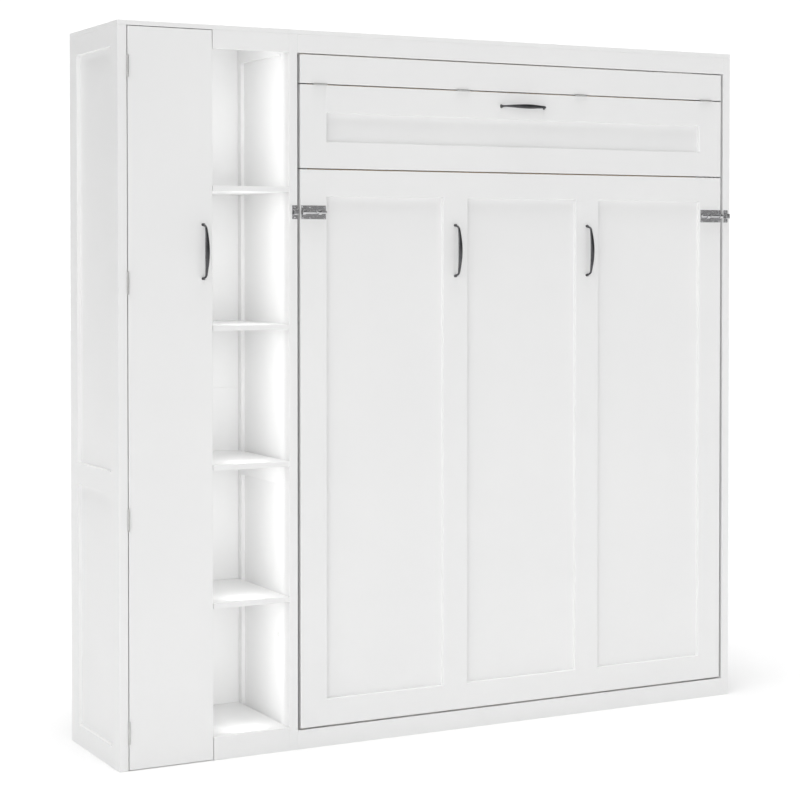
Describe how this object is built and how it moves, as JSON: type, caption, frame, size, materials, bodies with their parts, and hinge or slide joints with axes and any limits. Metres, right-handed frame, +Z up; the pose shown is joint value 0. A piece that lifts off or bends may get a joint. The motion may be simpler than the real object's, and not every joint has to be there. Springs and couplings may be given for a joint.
{
  "type": "murphy wall bed",
  "caption": "Fold-down wall bed in a shallow white shaker cabinet, with a fold-out leg panel, gas struts, barrel bolts, and a side cabinet with a narrow wardrobe and open shelves.",
  "frame": {"origin": "on the floor, under the middle of the overall box, handles included", "axes": "+X to the right along the front, +Y back to the wall, +Z up; the front faces -Y"},
  "size_m": [2.205, 0.472, 2.2],
  "materials": {
    "white_painted_board": "satin white paint on medium-density fibreboard",
    "slat_wood": "bare laminated birch, lightly sanded",
    "bright_steel": "ground and plated steel",
    "hinge_steel": "satin nickel plate",
    "bolt_chrome": "stamped stainless steel, bright",
    "black_steel": "black powder coat",
    "handle_gunmetal": "dark brushed nickel, lacquered"
  },
  "bodies": {
    "cabinet": {"left_end_panel": "white_painted_board", "side_top": "white_painted_board", "side_header": "white_painted_board", "side_base_rail": "white_painted_board", "side_bottom": "white_painted_board", "side_divider": "white_painted_board", "side_back_lower": "white_painted_board", "side_back_upper": "white_painted_board", "bay_shelf_1": "white_painted_board", "bay_shelf_2": "white_painted_board", "bay_shelf_3": "white_painted_board", "bay_shelf_4": "white_painted_board", "wardrobe_shelf": "white_painted_board", "hanging_rail": "bright_steel", "bed_left_panel": "white_painted_board", "bed_right_panel": "white_painted_board", "bed_cabinet_top": "white_painted_board", "bed_header": "white_painted_board", "bed_base_rail": "white_painted_board", "wall_rail_top": "white_painted_board", "headboard_panel": "white_painted_board", "wall_rail_bottom": "white_painted_board", "pivot_plate_left": "black_steel", "pivot_plate_right": "black_steel", "strut_bracket_left": "black_steel", "strut_bracket_right": "black_steel", "bolt_keeper_left": "bolt_chrome", "bolt_keeper_right": "bolt_chrome", "door_hinge_1": "hinge_steel", "door_hinge_2": "hinge_steel", "door_hinge_3": "hinge_steel", "door_hinge_4": "hinge_steel"},
    "door": {"wardrobe_door": "white_painted_board", "door_handle": "handle_gunmetal"},
    "bed": {"main_panel": "white_painted_board", "top_strip": "white_painted_board", "bed_rail_left": "white_painted_board", "bed_rail_right": "white_painted_board", "head_end_board": "white_painted_board", "foot_end_board": "white_painted_board", "centre_beam": "slat_wood", "slat_roll": "slat_wood", "bed_plate_left": "black_steel", "bed_plate_right": "black_steel", "bed_handle_left": "handle_gunmetal", "bed_handle_right": "handle_gunmetal", "bolt_body_left": "bolt_chrome", "bolt_body_right": "bolt_chrome", "foot_hinge_1": "hinge_steel", "foot_hinge_2": "hinge_steel", "foot_hinge_3": "hinge_steel", "foot_hinge_4": "hinge_steel"},
    "foot_leg": {"foot_panel": "white_painted_board", "foot_handle": "handle_gunmetal"},
    "bolt_left": {"bolt_rod_left": "bolt_chrome"},
    "bolt_right": {"bolt_rod_right": "bolt_chrome"},
    "strut_tube_left": {"strut_cylinder_left": "black_steel"},
    "strut_tube_right": {"strut_cylinder_right": "black_steel"},
    "strut_piston_left": {"strut_rod_left": "bright_steel"},
    "strut_piston_right": {"strut_rod_right": "bright_steel"}
  },
  "joints": [
    {"name": "bed_fold", "type": "hinge", "parent": "cabinet", "child": "bed", "pos_m": [0.2735, -0.12, 0.342], "axis": [1, 0, 0], "range_deg": [0, 90], "stiffness_Nm_per_rad": 85, "springref_deg": -103.13},
    {"name": "foot_leg_fold", "type": "hinge", "parent": "bed", "child": "foot_leg", "pos_m": [0.2735, -0.203, 2.037], "axis": [-1, 0, 0], "range_deg": [0, 90]},
    {"name": "door_swing", "type": "hinge", "parent": "cabinet", "child": "door", "pos_m": [-1.073, -0.203, 1.093], "axis": [0, 0, -1], "range_deg": [0, 110]},
    {"name": "bolt_slide_left", "type": "slide", "parent": "bed", "child": "bolt_left", "axis": [-1, 0, 0], "range_m": [0, 0.024]},
    {"name": "bolt_slide_right", "type": "slide", "parent": "bed", "child": "bolt_right", "axis": [1, 0, 0], "range_m": [0, 0.024]},
    {"name": "strut_swing_left", "type": "hinge", "parent": "cabinet", "child": "strut_tube_left", "pos_m": [-0.51775, 0.09, 0.952], "axis": [1, 0, 0], "range_deg": [0, 4.06]},
    {"name": "strut_stroke_left", "type": "slide", "parent": "strut_tube_left", "child": "strut_piston_left", "axis": [0, 0.1961, 0.9806], "range_m": [0, 0.2106]},
    {"name": "strut_swing_right", "type": "hinge", "parent": "cabinet", "child": "strut_tube_right", "pos_m": [1.06475, 0.09, 0.952], "axis": [1, 0, 0], "range_deg": [0, 4.06]},
    {"name": "strut_stroke_right", "type": "slide", "parent": "strut_tube_right", "child": "strut_piston_right", "axis": [0, 0.1961, 0.9806], "range_m": [0, 0.2106]}
  ],
  "couplings": [
    {"joint": "strut_swing_left", "follows": "bed_fold", "ratio": 0.045075},
    {"joint": "strut_stroke_left", "follows": "bed_fold", "m_per_rad": 0.13395},
    {"joint": "strut_swing_right", "follows": "bed_fold", "ratio": 0.045075},
    {"joint": "strut_stroke_right", "follows": "bed_fold", "m_per_rad": 0.13395}
  ]
}
